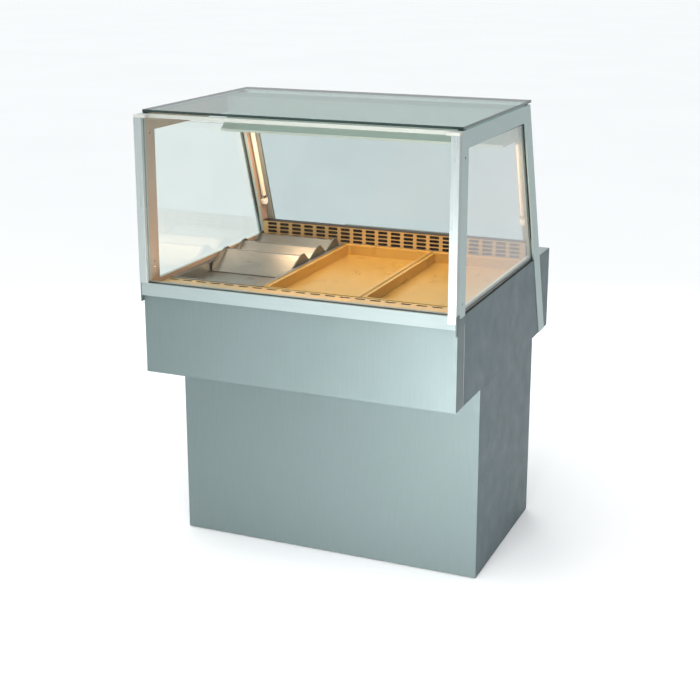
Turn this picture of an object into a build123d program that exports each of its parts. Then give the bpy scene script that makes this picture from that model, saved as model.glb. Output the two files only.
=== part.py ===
"""Hot food display case: a glazed serving counter on a pedestal cabinet.

Millimetres. +Z is up, -Y is the customer's side, +X is to the customer's right.
The origin is on the floor, under the middle of the case.
"""

import os
from math import atan2, cos, hypot, sin

from build123d import *

# ---------------------------------------------------------------- driving dimensions
HALF = 510.0  # half of the overall width, over the side frames
PANEL_HALF = 508.0  # half-width over the sheet metal of housing and base
FRONT = -490.0  # front face of the housing
REAR = 510.0  # rear face of the housing
HEIGHT = 1440.0  # top face of the top glass
SHEET = 1.5  # panel thickness
GAP = 0.3  # air between neighbouring pieces
CUT = 10.0  # how far a cut runs past the faces it goes through

HOUSING_Z = (624.0, 900.0)
FRONT_WRAP = 66.0  # how far the front panel runs round each corner
SHELF_LIP = 18.0
FAN_DUCT = ((-300.0, -100.0), (100.0, 240.0))  # opening in the housing's bottom
VENT_ROWS, VENT_COLUMNS = 6, 3
VENT_PITCH = (95.0, 22.0)
VENT_SLOT = (80.0, 8.0)
VENT_X, VENT_Z = -300.0, 720.0  # middle of the lowest row
BASE_Y = (-259.0, 325.0)
BASE_Z = (3.0, HOUSING_Z[0] - GAP)

RAIL_FRONT = -506.0
RAIL_REAR = -473.0
RAIL_Z = (875.0, 915.0)
RAIL_WALL = 2.0
END_CAP = 3.0

POST_FRONT = -510.0
POST_WIDTH = 26.0
POST_DEPTH = 25.0
POST_TOP = 1420.0
RIGHT_FOOT_DROP = 22.0  # the right post's front lip laps over the rail by this much

TOP_GLASS = 8.0
TOP_GLASS_HALF = 505.0
TOP_GLASS_Y = (-468.0, 222.0)
PAD = 3.0
FRAME_TOP = HEIGHT - TOP_GLASS - PAD

FRONT_GLASS_Y = (-498.0, -492.0)
FRONT_GLASS_TOP = 1416.0
FRONT_GLASS_HALF = HALF - POST_WIDTH + 10.0

FRAME_INNER = 486.0  # inner face of a side frame
STILE_FRONT = -484.7
STILE_REAR = -430.0
TOP_RAIL = 52.0  # height of the side frame's top rail
REAR_TOP_Y = 190.0  # outer edge of the rear stile at the frame's top
REAR_FOOT_Y = 469.0  # and at the bottom edge of the housing
STILE_WIDTH = 66.0
SIDE_GLASS_X = (497.0, 503.0)
GROOVE = 8.0
FRAME_SCREW_Y = STILE_FRONT + 26.0
FRAME_SCREWS_Z = (FRAME_TOP - 75.0, HOUSING_Z[1] + 40.0)

TUB_HALF = 485.0
TUB_Y = (-470.0, 289.8)
TUB_Z = (690.0, 898.0)

TRAY_PITCH = 322.0
TRAY_HALF = 160.0
TRAY_Y = (-370.0, 282.0)
TRAY_RIM = 12.0
TRAY_RIM_Z = 900.5
TRAY_DEPTH = 33.0
BAR_Z = (888.0, 900.0)  # the bars that the trays' rims rest on
RACK_START, RACK_PERIOD, RACK_CRADLES = -134.0, 133.0, 3
RACK_HALF = 143.0

FAN_Y = -90.0
FAN_PLATE_Z = 740.0
FAN_CLEAR = 0.5  # between the top of the fan plate and the impellers
FAN_HEIGHT = 22.0
FAN_HUB = 26.0
FAN_HOLE = 75.0
SHAFT = 3.0
RUNNING = 0.05  # radial clearance of every turning fit

SILL_TOP = 962.0
SILL_BACK = 320.0
REAR_SLOT = (36.0, 10.0)
FRONT_SLOT = (34.0, 12.0)
REAR_SLOT_PITCH = (47.0, 13.5)
REAR_SLOT_COUNT = (20, 4)
REAR_SLOT_Z = 931.0  # middle of the four rows
FRONT_SLOT_COUNT = 20
FRONT_SLOT_PITCH = 48.5
GRILLE_FACE = 286.5  # front face of the rear grille
FLAP_INSET = 14.0  # flap's middle plane, inside the rear stiles' outer edge
FLAP_HALF = 482.5
FLAP_LENGTH = 496.0  # from the pivot down to the bottom edge
FLAP_THICK = 12.0
FLAP_EDGE = 20.0
PIVOT_Z = 1395.0
PIVOT_PIN = 4.0

DOOR_Z = (42.0, 588.0)
DOOR_X = (17.0, 474.0)
DOOR_Y = (304.0, 324.0)
DOOR_PIN = 3.0
DOOR_AXIS = (469.0, 318.5)
DOOR_REVEAL = 4.0  # gap between a door and its opening
GLAND_X, GLAND_Z = -380.0, 22.0
GLAND_RADIUS = 10.0
GLAND_BORE = 4.5
GLAND_LENGTH = 40.0
CLEAR_HOLE = 0.2  # radial room in a hole that a fixed piece passes through
DOOR_KNUCKLE = 14.0
DOOR_KNOB_Z = 430.0
DOOR_KNOB_INSET = 35.0  # from the door's inner edge to the middle of its knob
BASE_FRAME_Y = (DOOR_Y[0] - 4.0, DOOR_Y[1] - 2.0)
FLOOR_Z = 38.0  # underside of the cupboard floor
FLOOR_LIP = 14.0
FOOT_X = 430.0
FOOT_Y = (-200.0, 250.0)
FOOT_DISC = 8.0
FOOT_RADIUS = 28.0
FOOT_STEM = 6.0
FOOT_NUT = (11.0, 7.0)  # corner radius and height
ELECTRICAL_BOX = ((-210.0, 10.0), (-170.0, -50.0))
ELECTRICAL_TOP = 190.0

KNOB_X, SWITCH_X, LAMP_SWITCH_X = 350.0, 250.0, 190.0
KNOB_SKIRT, KNOB_GRIP = 21.0, 17.0  # radii
ROCKER_HALF = (8.0, 12.0)
CONTROL_X = (130.0, 400.0)
CONTROL_Z = (745.0, 855.0)
CONTROL_Y = (478.0, REAR - SHEET - GAP)

HOOD_X = FRAME_INNER - 1.0
HOOD_Y = (-10.0, 40.0, 160.0)
HOOD_Z = (1318.0, 1326.0, 1362.0, FRAME_TOP - 1.0)
HOOD_LAMP_Z = 1345.0
HOOD_LAMPS_Y = (55.0, 110.0)
STILE_LAMP_X = 474.0
STILE_LAMP_Z = (1040.0, 1320.0)
STILE_LAMP_INSET = 40.0

# Slope of the rear stiles: y grows by LEAN for each millimetre down.
LEAN = (REAR_FOOT_Y - REAR_TOP_Y) / (FRAME_TOP - HOUSING_Z[0])
LEAN_LENGTH = hypot(LEAN, 1.0)

os.makedirs("parts", exist_ok=True)


def write(builder, name):
    """Label a finished piece and write it to its own file."""
    builder.part.label = name
    export_step(builder.part, f"parts/{name}.step")


def block(x, y, z, mode=Mode.ADD):
    """Add or cut a box that spans the (low, high) pairs x, y and z."""
    with Locations(((x[0] + x[1]) / 2, (y[0] + y[1]) / 2, (z[0] + z[1]) / 2)):
        Box(x[1] - x[0], y[1] - y[0], z[1] - z[0], mode=mode)


def shell_box(x, y, z, wall, open_side):
    """A sheet box with one side, such as '+z', left open."""
    block(x, y, z)
    inner = [[pair[0] + wall, pair[1] - wall] for pair in (x, y, z)]
    axis = "xyz".index(open_side[1])
    if open_side[0] == "+":
        inner[axis][1] += 2 * wall
    else:
        inner[axis][0] -= 2 * wall
    block(*inner, mode=Mode.SUBTRACT)


def prism(points, x, mode=Mode.ADD):
    """Extrude a closed outline of (y, z) points between the two x values."""
    with BuildSketch(Plane.YZ.offset(x[0])) as outline:
        Polygon(*points, align=None)
    extrude(outline.sketch, amount=x[1] - x[0], mode=mode)


def sided(side, x):
    """The (low, high) pair x, given for the right side, moved to the asked side."""
    return tuple(sorted((side * x[0], side * x[1])))


def rear_edge(z, inset=0.0):
    """y of the line that lies inset inside the rear stiles' outer edge, at height z."""
    return REAR_TOP_Y + (FRAME_TOP - z) * LEAN - inset * LEAN_LENGTH


def named(side):
    """The word for a side in a node's name."""
    return "right" if side > 0 else "left"


# The flap's own plane: x to the right, y down along the flap, z outwards to the rear.
FLAP_PLANE = Plane(
    origin=(0, rear_edge(PIVOT_Z, FLAP_INSET), PIVOT_Z),
    x_dir=(1, 0, 0),
    z_dir=(0, 1, LEAN),
)


# ---------------------------------------------------------------- pedestal cabinet
def base_panels():
    x_inner = PANEL_HALF - SHEET
    with BuildPart() as front:
        block((-PANEL_HALF, PANEL_HALF), (BASE_Y[0], BASE_Y[0] + SHEET), BASE_Z)
    write(front, "base_front_panel")
    for side in (-1, 1):
        with BuildPart() as panel:
            block(
                sided(side, (x_inner, PANEL_HALF)),
                (BASE_Y[0] + SHEET + GAP, BASE_Y[1]),
                BASE_Z,
            )
        write(panel, f"base_{named(side)}_panel")
    with BuildPart() as floor:
        shell_box(
            (-x_inner + GAP, x_inner - GAP),
            (BASE_Y[0] + SHEET + GAP, BASE_FRAME_Y[0] - 1),
            (FLOOR_Z, FLOOR_Z + FLOOR_LIP),
            SHEET,
            "+z",
        )
    write(floor, "base_floor")
    with BuildPart() as frame:
        block((-x_inner + GAP, x_inner - GAP), BASE_FRAME_Y, BASE_Z)
        for side in (-1, 1):
            opening = (DOOR_X[0] - DOOR_REVEAL, DOOR_X[1] + DOOR_REVEAL)
            block(
                sided(side, opening),
                (DOOR_Y[0] - CUT, DOOR_Y[1] + CUT),
                (DOOR_Z[0] - DOOR_REVEAL, DOOR_Z[1] + DOOR_REVEAL),
                mode=Mode.SUBTRACT,
            )
        with Locations((GLAND_X, DOOR_Y[1], GLAND_Z)):
            Cylinder(GLAND_RADIUS + CLEAR_HOLE, 60.0, rotation=(90, 0, 0), mode=Mode.SUBTRACT)
    write(frame, "base_rear_frame")


def base_door(side):
    """An inset pan door, hung on two pins at its outer edge."""
    with BuildPart() as door:
        shell_box(sided(side, DOOR_X), DOOR_Y, DOOR_Z, SHEET, "-y")
        x = sided(side, (DOOR_X[1] - DOOR_KNUCKLE, DOOR_X[1]))
        y = (DOOR_Y[1] - DOOR_KNUCKLE, DOOR_Y[1])
        block(x, y, (DOOR_Z[0], DOOR_Z[0] + 25))
        block(x, y, (DOOR_Z[1] - 25, DOOR_Z[1]))
        with Locations(
            (side * DOOR_AXIS[0], DOOR_AXIS[1], DOOR_Z[0] + 9),
            (side * DOOR_AXIS[0], DOOR_AXIS[1], DOOR_Z[1] - 9),
        ):
            Cylinder(DOOR_PIN + RUNNING, 18.2, mode=Mode.SUBTRACT)
    write(door, f"base_door_{named(side)}")
    with BuildPart() as knob:
        with BuildSketch(Plane.XZ.offset(-DOOR_Y[1])):
            with Locations((side * (DOOR_X[0] + DOOR_KNOB_INSET), DOOR_KNOB_Z)):
                Circle(8.0)
        extrude(amount=-14.0)
        with BuildSketch(Plane.XZ.offset(-DOOR_Y[1] - 14.0)):
            with Locations((side * (DOOR_X[0] + DOOR_KNOB_INSET), DOOR_KNOB_Z)):
                Circle(15.0)
        extrude(amount=-10.0)
        fillet(knob.edges().group_by(Axis.Y)[-1], 3.0)
    write(knob, f"door_knob_{named(side)}")


def hinge_pins():
    """Two pins for each door and one at each end of the rear flap."""
    axis = FLAP_PLANE.origin
    with BuildPart() as pins:
        for side in (-1, 1):
            x, y = side * DOOR_AXIS[0], DOOR_AXIS[1]
            with Locations((x, y, DOOR_Z[0] - DOOR_REVEAL + 9), (x, y, DOOR_Z[1] + DOOR_REVEAL - 9)):
                Cylinder(DOOR_PIN, 18.0)
            with Locations((side * (FRAME_INNER - 5.0), axis.Y, axis.Z)):
                Cylinder(PIVOT_PIN, 34.0, rotation=(0, 90, 0))
    write(pins, "hinge_pins")


def base_fittings():
    with BuildPart() as feet:
        for x in (-FOOT_X, FOOT_X):
            for y in FOOT_Y:
                with Locations((x, y, FOOT_DISC / 2)):
                    Cylinder(FOOT_RADIUS, FOOT_DISC)
                with Locations((x, y, (FOOT_DISC + FLOOR_Z - GAP) / 2)):
                    Cylinder(FOOT_STEM, FLOOR_Z - GAP - FOOT_DISC)
                with BuildSketch(Plane.XY.offset(FOOT_DISC)):
                    with Locations((x, y)):
                        RegularPolygon(FOOT_NUT[0], 6)
                extrude(amount=FOOT_NUT[1])
    write(feet, "levelling_feet")
    with BuildPart() as screws:
        for side in (-1, 1):
            for y in (BASE_Y[0] + 22, BASE_Y[1] - 22):
                for z in (30.0, BASE_Z[1] - 60.0):
                    screw_head(side, y, z)
            for z in FRAME_SCREWS_Z:
                screw_head(side, FRAME_SCREW_Y, z, HALF - 1.2)
    write(screws, "panel_screws")
    with BuildPart() as box:
        block(*ELECTRICAL_BOX, (FLOOR_Z + SHEET + GAP, ELECTRICAL_TOP))
        fillet(box.edges().filter_by(Axis.Z), 4.0)
    write(box, "electrical_box")
    with BuildPart() as gland:
        middle = (GLAND_X, DOOR_Y[1] - 8.0, GLAND_Z)
        with Locations(middle):
            Cylinder(GLAND_RADIUS, GLAND_LENGTH, rotation=(90, 0, 0))
        with BuildSketch(Plane.XZ.offset(-DOOR_Y[1] + 2.0 - GAP)):
            with Locations((GLAND_X, GLAND_Z)):
                RegularPolygon(14.0, 6)
        extrude(amount=-8.0)
        with Locations(middle):
            Cylinder(GLAND_BORE, GLAND_LENGTH + 2 * CUT, rotation=(90, 0, 0), mode=Mode.SUBTRACT)
    write(gland, "mains_gland")


def screw_head(side, y, z, face=PANEL_HALF):
    """A low domed screw head on a side face."""
    with Locations((side * (face + 0.5), y, z)):
        Cylinder(4.0, 1.0, rotation=(0, 90, 0))


# ---------------------------------------------------------------- housing
def housing_panels():
    inner = PANEL_HALF - SHEET
    wrap = FRONT + FRONT_WRAP
    with BuildPart() as front:
        block((-PANEL_HALF, PANEL_HALF), (FRONT, wrap), HOUSING_Z)
        block((-inner, inner), (FRONT + SHEET, wrap + 1), (0, HEIGHT), mode=Mode.SUBTRACT)
    write(front, "housing_front_panel")
    for side in (-1, 1):
        with BuildPart() as panel:
            x = sided(side, (inner, PANEL_HALF))
            block(x, (wrap + GAP, REAR - SHEET - GAP), (HOUSING_Z[0], HOUSING_Z[1]))
            block(
                sided(side, (TUB_HALF + 1.5, PANEL_HALF)),
                (wrap + GAP, rear_edge(HOUSING_Z[1])),
                (HOUSING_Z[1] - SHEET, HOUSING_Z[1]),
            )
        write(panel, f"housing_{named(side)}_panel")
    with BuildPart() as bottom:
        block(
            (-inner + GAP, inner - GAP),
            (FRONT + SHEET + GAP, REAR - SHEET - GAP),
            (HOUSING_Z[0], HOUSING_Z[0] + SHEET),
        )
        block(*FAN_DUCT, HOUSING_Z, mode=Mode.SUBTRACT)
    write(bottom, "housing_bottom")
    shelf_z = (HOUSING_Z[1] - SHEET, HOUSING_Z[1])
    with BuildPart() as rear:
        block((-PANEL_HALF, PANEL_HALF), (REAR - SHEET, REAR), (HOUSING_Z[0], shelf_z[0] - GAP))
        block(CONTROL_X, (REAR - CUT, REAR + CUT), CONTROL_Z, mode=Mode.SUBTRACT)
        for row in range(VENT_ROWS):
            with BuildSketch(Plane.XZ.offset(-REAR - 1)):
                with Locations((VENT_X, VENT_Z + VENT_PITCH[1] * row)):
                    with GridLocations(VENT_PITCH[0], 1.0, VENT_COLUMNS, 1):
                        SlotOverall(*VENT_SLOT)
            extrude(amount=4.0, mode=Mode.SUBTRACT)
    write(rear, "housing_rear_panel")
    with BuildPart() as shelf:
        start = rear_edge(HOUSING_Z[1]) + GAP
        tongue = SILL_BACK + GAP
        block((-inner + GAP, inner - GAP), (start, REAR), shelf_z)
        block((-TUB_HALF, TUB_HALF), (tongue, start), shelf_z)
        block((-TUB_HALF, TUB_HALF), (tongue, tongue + SHEET), (shelf_z[0] - SHELF_LIP, shelf_z[1]))
    write(shelf, "rear_shelf")


def front_rail():
    with BuildPart() as rail:
        outline = [
            (RAIL_FRONT, RAIL_Z[0]),
            (RAIL_FRONT, RAIL_Z[1]),
            (RAIL_REAR, RAIL_Z[1]),
            (RAIL_REAR, HOUSING_Z[1] + 2),
            (FRONT - GAP, HOUSING_Z[1] + 2),
            (FRONT - GAP, RAIL_Z[0]),
        ]
        half = HALF - END_CAP - GAP
        prism(outline, (-half, half))
        w = RAIL_WALL
        hollow = [
            (RAIL_FRONT + w, RAIL_Z[0] + w),
            (RAIL_FRONT + w, RAIL_Z[1] - w),
            (RAIL_REAR - w, RAIL_Z[1] - w),
            (RAIL_REAR - w, HOUSING_Z[1] + 2 + w),
            (FRONT - GAP - w, HOUSING_Z[1] + 2 + w),
            (FRONT - GAP - w, RAIL_Z[0] + w),
        ]
        prism(hollow, (-half - 1, half + 1), mode=Mode.SUBTRACT)
        fillet(rail.edges().filter_by(Axis.X).group_by(Axis.Z)[-1].sort_by(Axis.Y)[0], 1.5)
    write(rail, "front_rail")
    with BuildPart() as caps:
        for side in (-1, 1):
            block(
                sided(side, (HALF - END_CAP, HALF)),
                (RAIL_FRONT, FRONT - GAP),
                (RAIL_Z[0] - 20, RAIL_Z[1]),
            )
    write(caps, "rail_end_caps")


def control_parts():
    with BuildPart() as box:
        shell_box(
            (CONTROL_X[0] - 5, CONTROL_X[1] + 5),
            CONTROL_Y,
            (CONTROL_Z[0] - 5, CONTROL_Z[1] + 5),
            SHEET,
            "+y",
        )
        middle = sum(CONTROL_Z) / 2
        with Locations((KNOB_X, CONTROL_Y[0], middle)):
            Cylinder(SHAFT + RUNNING, 20.0, rotation=(90, 0, 0), mode=Mode.SUBTRACT)
        for x in (SWITCH_X, LAMP_SWITCH_X):
            block(
                (x - ROCKER_HALF[0] - 1, x + ROCKER_HALF[0] + 1),
                (CONTROL_Y[0] - CUT, CONTROL_Y[0] + SHEET + 1),
                (middle - ROCKER_HALF[1] - 2, middle + ROCKER_HALF[1] + 2),
                mode=Mode.SUBTRACT,
            )
    write(box, "control_box")
    face = CONTROL_Y[0] + SHEET
    with BuildPart() as knob:
        with BuildSketch(Plane.XZ.offset(-face - 0.5)):
            with Locations((KNOB_X, middle)):
                Circle(KNOB_SKIRT)
        extrude(amount=-4.0)
        with BuildSketch(Plane.XZ.offset(-face - 4.5)):
            with Locations((KNOB_X, middle)):
                Circle(KNOB_GRIP)
        extrude(amount=-14.0, taper=4)
        fillet(knob.edges().group_by(Axis.Y)[-1], 1.5)
        block((KNOB_X - 1, KNOB_X + 1), (face + 16.5, face + 30), (middle, middle + 14),
              mode=Mode.SUBTRACT)
        with Locations((KNOB_X, face - 4.0, middle)):
            Cylinder(SHAFT, 10.0, rotation=(90, 0, 0))
    write(knob, "thermostat_knob")
    for x, name in ((SWITCH_X, "heat_switch"), (LAMP_SWITCH_X, "lamp_switch")):
        with BuildPart() as rocker:
            tall = ROCKER_HALF[1]
            profile = [
                (face - 5.0, middle - tall + 1.0),
                (face + 1.0, middle - tall),
                (face + 4.5, middle - tall),
                (face + 2.0, middle),
                (face + 4.5, middle + tall),
                (face + 1.0, middle + tall),
                (face - 5.0, middle + tall - 1.0),
            ]
            prism(profile, (x - ROCKER_HALF[0], x + ROCKER_HALF[0]))
        write(rocker, name)


# ---------------------------------------------------------------- warm well under the trays
def warm_well():
    with BuildPart() as tub:
        shell_box((-TUB_HALF, TUB_HALF), TUB_Y, TUB_Z, SHEET, "+z")
    write(tub, "inner_tub")
    inside = TUB_HALF - SHEET - GAP
    with BuildPart() as plate:
        block((-inside, inside), (TUB_Y[0] + 2, TUB_Y[1] - 2), (FAN_PLATE_Z, FAN_PLATE_Z + SHEET))
        with Locations(*[(x, FAN_Y, FAN_PLATE_Z) for x in fan_places()]):
            Cylinder(FAN_HOLE, 20.0, mode=Mode.SUBTRACT)
    write(plate, "fan_plate")
    with BuildPart() as motors:
        for x in fan_places():
            fan_motor(x)
    write(motors, "fan_motors")
    for x, name in zip(fan_places(), ("left", "middle", "right")):
        fan_impeller(x, f"fan_{name}")
    with BuildPart() as bars:
        block((-inside, inside), (TRAY_Y[0] - 8, TRAY_Y[0] + 10), BAR_Z)
        block((-inside, inside), (TRAY_Y[1] - 10, TUB_Y[1] - SHEET - GAP), BAR_Z)
    write(bars, "tray_bars")
    heating_element()


def fan_places():
    return [TRAY_PITCH * step for step in (-1, 0, 1)]


def fan_motor(x):
    """A motor on a three-armed spider that hangs from the fan plate."""
    floor = TUB_Z[0] + SHEET
    ring_z = (FAN_PLATE_Z - 6.0, FAN_PLATE_Z - GAP)
    with BuildSketch(Plane.XY.offset(ring_z[0])) as spider:
        with Locations((x, FAN_Y)):
            Circle(FAN_HOLE + 10)
            Circle(FAN_HOLE, mode=Mode.SUBTRACT)
            with PolarLocations(0, 3):
                with Locations((FAN_HOLE / 2 + 5, 0)):
                    Rectangle(FAN_HOLE, 8)
    extrude(spider.sketch, amount=ring_z[1] - ring_z[0])
    with Locations((x, FAN_Y, (floor + 4 + ring_z[1]) / 2)):
        Cylinder(30.0, ring_z[1] - floor - 4)
    with Locations((x, FAN_Y, ring_z[1] + 13.0)):
        Cylinder(SHAFT, 26.0)


def fan_impeller(x, name):
    low = FAN_PLATE_Z + SHEET + FAN_CLEAR
    middle = low + FAN_HEIGHT / 2
    with BuildPart() as fan:
        with BuildSketch(Plane.XY.offset(low)):
            with Locations((x, FAN_Y)):
                Circle(FAN_HUB)
        extrude(amount=FAN_HEIGHT)
        for step in range(5):
            angle = 72 * step
            turned = Location((x, FAN_Y, middle), (0, 0, angle))
            pitched = turned * Location((0, 0, 0), (35, 0, 0))
            with BuildSketch(Plane(pitched).offset(-1.0)):
                with BuildLine():
                    Polyline((20, -12), (62, -16), (62, 16), (20, 12), (20, -12))
                make_face()
            extrude(amount=2.0)
        with Locations((x, FAN_Y, middle)):
            Cylinder(SHAFT + RUNNING, FAN_HEIGHT + 2 * CUT, mode=Mode.SUBTRACT)
    write(fan, name)


def heating_element():
    """One tube folded into passes from side to side, above the fans."""
    z, radius, reach = 810.0, 4.0, 430.0
    first, step, passes = 180.0, -80.0, 6
    back = TUB_Y[1] - SHEET - GAP
    last = first + step * (passes - 1)
    points = [(-reach, back, z), (-reach, first, z)]
    for index in range(passes - 1):
        x = reach if index % 2 == 0 else -reach
        y = first + step * index
        points += [(x, y, z), (x, y + step, z)]
    points += [(-reach - 30.0, last, z), (-reach - 30.0, back, z)]
    with BuildPart() as heater:
        with BuildLine() as path:
            FilletPolyline(*points, radius=14.0)
        with BuildSketch(Plane(origin=path.line @ 0, z_dir=path.line % 0)):
            Circle(radius)
        sweep()
    write(heater, "heating_element")


# ---------------------------------------------------------------- trays, rack, air grilles
def tray(x, name):
    """A shallow serving tray that hangs by its rim."""
    middle = sum(TRAY_Y) / 2
    length = TRAY_Y[1] - TRAY_Y[0]
    body = (2 * (TRAY_HALF - TRAY_RIM), length - 2 * TRAY_RIM)
    low = TRAY_RIM_Z - TRAY_DEPTH
    with BuildPart() as pan:
        with BuildSketch(Plane.XY.offset(TRAY_RIM_Z)):
            with Locations((x, middle)):
                RectangleRounded(2 * TRAY_HALF, length, 8)
        extrude(amount=SHEET)
        with BuildSketch(Plane.XY.offset(low)):
            with Locations((x, middle)):
                RectangleRounded(*body, 14)
        extrude(amount=TRAY_DEPTH)
        with BuildSketch(Plane.XY.offset(low + SHEET)):
            with Locations((x, middle)):
                RectangleRounded(body[0] - 2 * SHEET, body[1] - 2 * SHEET, 12.5)
        extrude(amount=TRAY_DEPTH + 2 * SHEET, mode=Mode.SUBTRACT)
    write(pan, name)


def stepped_rack(x):
    """A wavy insert with three leaning cradles between two side cheeks."""
    start, period, cradles, half = RACK_START, RACK_PERIOD, RACK_CRADLES, RACK_HALF
    low = TRAY_RIM_Z - TRAY_DEPTH + SHEET + 0.5
    high = TRAY_RIM_Z + 26.0
    wave = [(start, low)]
    for index in range(cradles):
        y = start + period * index
        wave += [(y + 8, low), (y + 96, high - 4), (y + 110, high - 4), (y + period - 2, low)]
    upper = [(y, z + 2.0) for y, z in wave]
    cheek = [(start, low), (start, low + 24)]
    for index in range(cradles):
        y = start + period * index
        cheek += [(y + 20, low + 30), (y + 88, high + 4), (y + 112, high + 4)]
    end = start + period * cradles - 2
    cheek += [(end, low + 34), (end, low)]
    with BuildPart() as rack:
        prism(wave + upper[::-1], (x - half, x + half))
        for side in (-1, 1):
            prism(cheek, sorted((x + side * half, x + side * (half - SHEET))))
    write(rack, "stepped_rack")


def air_grilles():
    inside = TUB_HALF - SHEET - GAP
    with BuildPart() as front:
        top = TRAY_RIM_Z + SHEET
        block((-inside, inside), (TUB_Y[0] + 2, TRAY_Y[0] - 2), (top - SHEET, top))
        block((-inside, inside), (TUB_Y[0] + 2, TUB_Y[0] + 2 + SHEET), (870, top))
        with BuildSketch(Plane.XY.offset(890)):
            with Locations((0, -387.0)):
                with GridLocations(FRONT_SLOT_PITCH, 1, FRONT_SLOT_COUNT, 1):
                    SlotOverall(*FRONT_SLOT)
        extrude(amount=20.0, mode=Mode.SUBTRACT)
    write(front, "front_air_grille")
    face = GRILLE_FACE
    with BuildPart() as rear:
        block((-inside, inside), (face, face + SHEET), (900 + GAP, SILL_TOP - 2 - GAP))
        with BuildSketch(Plane.XZ.offset(-face - 5)):
            with Locations((0, REAR_SLOT_Z)):
                with GridLocations(*REAR_SLOT_PITCH, *REAR_SLOT_COUNT):
                    SlotOverall(*REAR_SLOT)
        extrude(amount=20.0, mode=Mode.SUBTRACT)
    write(rear, "rear_air_grille")
    with BuildPart() as sill:
        block((-inside, inside), (face, SILL_BACK), (SILL_TOP - 2, SILL_TOP))
        block((-inside, inside), (SILL_BACK - 2, SILL_BACK), (HOUSING_Z[1] + GAP, SILL_TOP))
    write(sill, "rear_sill")


# ---------------------------------------------------------------- glazed display
def front_post(side):
    x = sided(side, (HALF - POST_WIDTH, HALF))
    y = (POST_FRONT, POST_FRONT + POST_DEPTH)
    with BuildPart() as post:
        block(x, y, (RAIL_Z[1] + GAP, POST_TOP))
        fillet(post.edges().filter_by(Axis.Z).group_by(Axis.Y)[0], 1.5)
        groove_y = (FRONT_GLASS_Y[0] - GAP, FRONT_GLASS_Y[1] + GAP)
        groove_x = sided(side, (HALF - POST_WIDTH - 1, FRONT_GLASS_HALF + GAP))
        block(groove_x, groove_y, (0, FRONT_GLASS_TOP + GAP), mode=Mode.SUBTRACT)
        if side > 0:
            lip = (POST_FRONT, RAIL_FRONT - GAP)
            block((x[0] + 1.5, x[1] - 1.5), lip, (RAIL_Z[1] - RIGHT_FOOT_DROP, RAIL_Z[1] + 8))
    write(post, f"front_post_{named(side)}")


def side_outline(foot):
    """Outline of a side frame in (y, z), with its rear stile reaching down to foot."""
    deck = HOUSING_Z[1] + GAP
    clear = RAIL_REAR + GAP
    return [
        (STILE_FRONT, RAIL_Z[1] + GAP),
        (STILE_FRONT, FRAME_TOP),
        (REAR_TOP_Y, FRAME_TOP),
        (rear_edge(foot), foot),
        (rear_edge(foot) - STILE_WIDTH, foot),
        (rear_edge(FRAME_TOP - TOP_RAIL) - STILE_WIDTH, FRAME_TOP - TOP_RAIL),
        (STILE_REAR, FRAME_TOP - TOP_RAIL),
        (STILE_REAR, deck),
        (clear, deck),
        (clear, RAIL_Z[1] + GAP),
    ]


def glass_outline(grow):
    """The side glass in (y, z), or its groove when grown."""
    edge = GROOVE + grow
    top = FRAME_TOP - TOP_RAIL + edge
    foot = HOUSING_Z[1] + 2.5 - grow
    return [
        (STILE_REAR - edge, foot),
        (STILE_REAR - edge, top),
        (rear_edge(top) - STILE_WIDTH + edge, top),
        (rear_edge(foot) - STILE_WIDTH + edge, foot),
    ]


def side_frame(side):
    axis = FLAP_PLANE.origin
    with BuildPart() as frame:
        prism(side_outline(HOUSING_Z[1] + GAP), sided(side, (FRAME_INNER, PANEL_HALF + GAP)))
        prism(side_outline(HOUSING_Z[0]), sided(side, (PANEL_HALF + GAP, HALF)))
        groove_x = sided(side, (SIDE_GLASS_X[0] - GAP, SIDE_GLASS_X[1] + GAP))
        prism(glass_outline(GAP + 0.2), groove_x, mode=Mode.SUBTRACT)
        with Locations((side * FRAME_INNER, axis.Y, axis.Z)):
            Cylinder(PIVOT_PIN + 0.02, 24.2, rotation=(0, 90, 0), mode=Mode.SUBTRACT)
        with Locations(*[(side * HALF, FRAME_SCREW_Y, z) for z in FRAME_SCREWS_Z]):
            Cylinder(4.4, 2.4, rotation=(0, 90, 0), mode=Mode.SUBTRACT)
    write(frame, f"side_frame_{named(side)}")


def glazing():
    for side in (-1, 1):
        with BuildPart() as pane:
            prism(glass_outline(0.0), sided(side, SIDE_GLASS_X))
        write(pane, f"side_glass_{named(side)}")
    with BuildPart() as front:
        block((-FRONT_GLASS_HALF, FRONT_GLASS_HALF), FRONT_GLASS_Y, (RAIL_Z[1] + 2, FRONT_GLASS_TOP))
    write(front, "front_glass")
    with BuildPart() as top:
        block((-TOP_GLASS_HALF, TOP_GLASS_HALF), TOP_GLASS_Y, (HEIGHT - TOP_GLASS, HEIGHT))
        fillet(top.edges().filter_by(Axis.Z), 4.0)
        chamfer(top.faces().sort_by(Axis.Z)[-1].edges(), 0.8)
    write(top, "top_glass")
    deck = HOUSING_Z[1] + GAP
    with BuildPart() as gaskets:
        rear = rear_edge(deck) - STILE_WIDTH - 1
        for side in (-1, 1):
            block(sided(side, (495.0, 506.0)), (STILE_REAR + GAP, rear), (deck, deck + 2.0))
        clear = HALF - POST_WIDTH - GAP
        y = (FRONT_GLASS_Y[0] - 1, FRONT_GLASS_Y[1] + 1)
        block((-clear, clear), y, (RAIL_Z[1], RAIL_Z[1] + 1.8))
        for side in (-1, 1):
            for y in (TOP_GLASS_Y[0] + 14, REAR_TOP_Y - 18):
                block(sided(side, (489.0, 503.0)), (y - 12, y + 12), (FRAME_TOP, FRAME_TOP + PAD))
    write(gaskets, "glass_seals")
    with BuildPart() as strips:
        for side in (-1, 1):
            block(sided(side, (487.0, 494.7)), (STILE_REAR + GAP, rear - 6), (deck, deck + 15.0))
    write(strips, "side_strips")


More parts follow.
